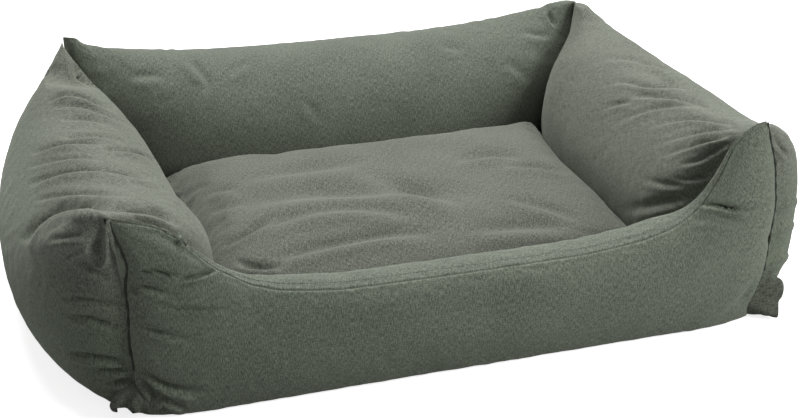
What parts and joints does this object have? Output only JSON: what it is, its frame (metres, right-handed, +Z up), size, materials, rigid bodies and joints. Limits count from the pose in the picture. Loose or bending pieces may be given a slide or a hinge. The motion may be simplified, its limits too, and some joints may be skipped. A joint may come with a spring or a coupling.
{
  "type": "dog bed",
  "caption": "Rectangular fabric dog bed: stuffed walls on three sides, a low dipped front wall and a loose zipped cushion.",
  "frame": {"origin": "on the floor, under the middle of the bed's outer size", "axes": "+X to the right along the low front wall, +Y to the back wall, +Z up"},
  "size_m": [0.8, 0.5862, 0.2002],
  "materials": {
    "wall_cloth": "woven canvas, grey-green melange",
    "front_cloth": "woven canvas, darker green melange",
    "cushion_cloth": "woven canvas, grey-green melange",
    "filling": "white polyester wadding",
    "base_cloth": "black hard-wearing cloth",
    "lining_cloth": "plain lining cloth",
    "grip_rubber": "matt grip dots",
    "zip_tape": "woven zip tape",
    "zip_plastic": "moulded teeth",
    "zip_metal": "enamelled zinc"
  },
  "bodies": {
    "bed": {"back_cover": "wall_cloth", "back_filling": "filling", "back_left_corner_seam": "wall_cloth", "back_left_corner_tuft": "wall_cloth", "back_right_corner_seam": "wall_cloth", "back_right_corner_tuft": "wall_cloth", "base_panel": "base_cloth", "floor_lining": "lining_cloth", "front_filling": "filling", "front_left_corner_seam": "wall_cloth", "front_left_corner_tuft": "wall_cloth", "front_outer_panel": "front_cloth", "front_right_corner_seam": "wall_cloth", "front_right_corner_tuft": "wall_cloth", "front_top_panel": "wall_cloth", "grip_dots": "grip_rubber", "left_cover": "wall_cloth", "left_filling": "filling", "right_cover": "wall_cloth", "right_filling": "filling"},
    "cushion": {"cushion_bottom_panel": "cushion_cloth", "cushion_filling": "filling", "cushion_top_panel": "cushion_cloth", "cushion_zip_stops": "zip_metal", "cushion_zip_tapes": "zip_tape", "cushion_zip_teeth": "zip_plastic"},
    "zip_slider": {"cushion_zip_slider": "zip_metal"},
    "zip_pull": {"cushion_zip_pull": "zip_metal"}
  },
  "joints": [
    {"name": "cushion_lift", "type": "slide", "parent": "bed", "child": "cushion", "axis": [0, 0, 1], "range_m": [0, 0.25]},
    {"name": "zip_slide", "type": "slide", "parent": "cushion", "child": "zip_slider", "axis": [-1, 0, 0], "range_m": [0, 0.28]},
    {"name": "zip_pull_swing", "type": "hinge", "parent": "zip_slider", "child": "zip_pull", "pos_m": [0.1417, 0.0955, 0.0218], "axis": [0, 0, -1], "range_deg": [0, 60]}
  ]
}
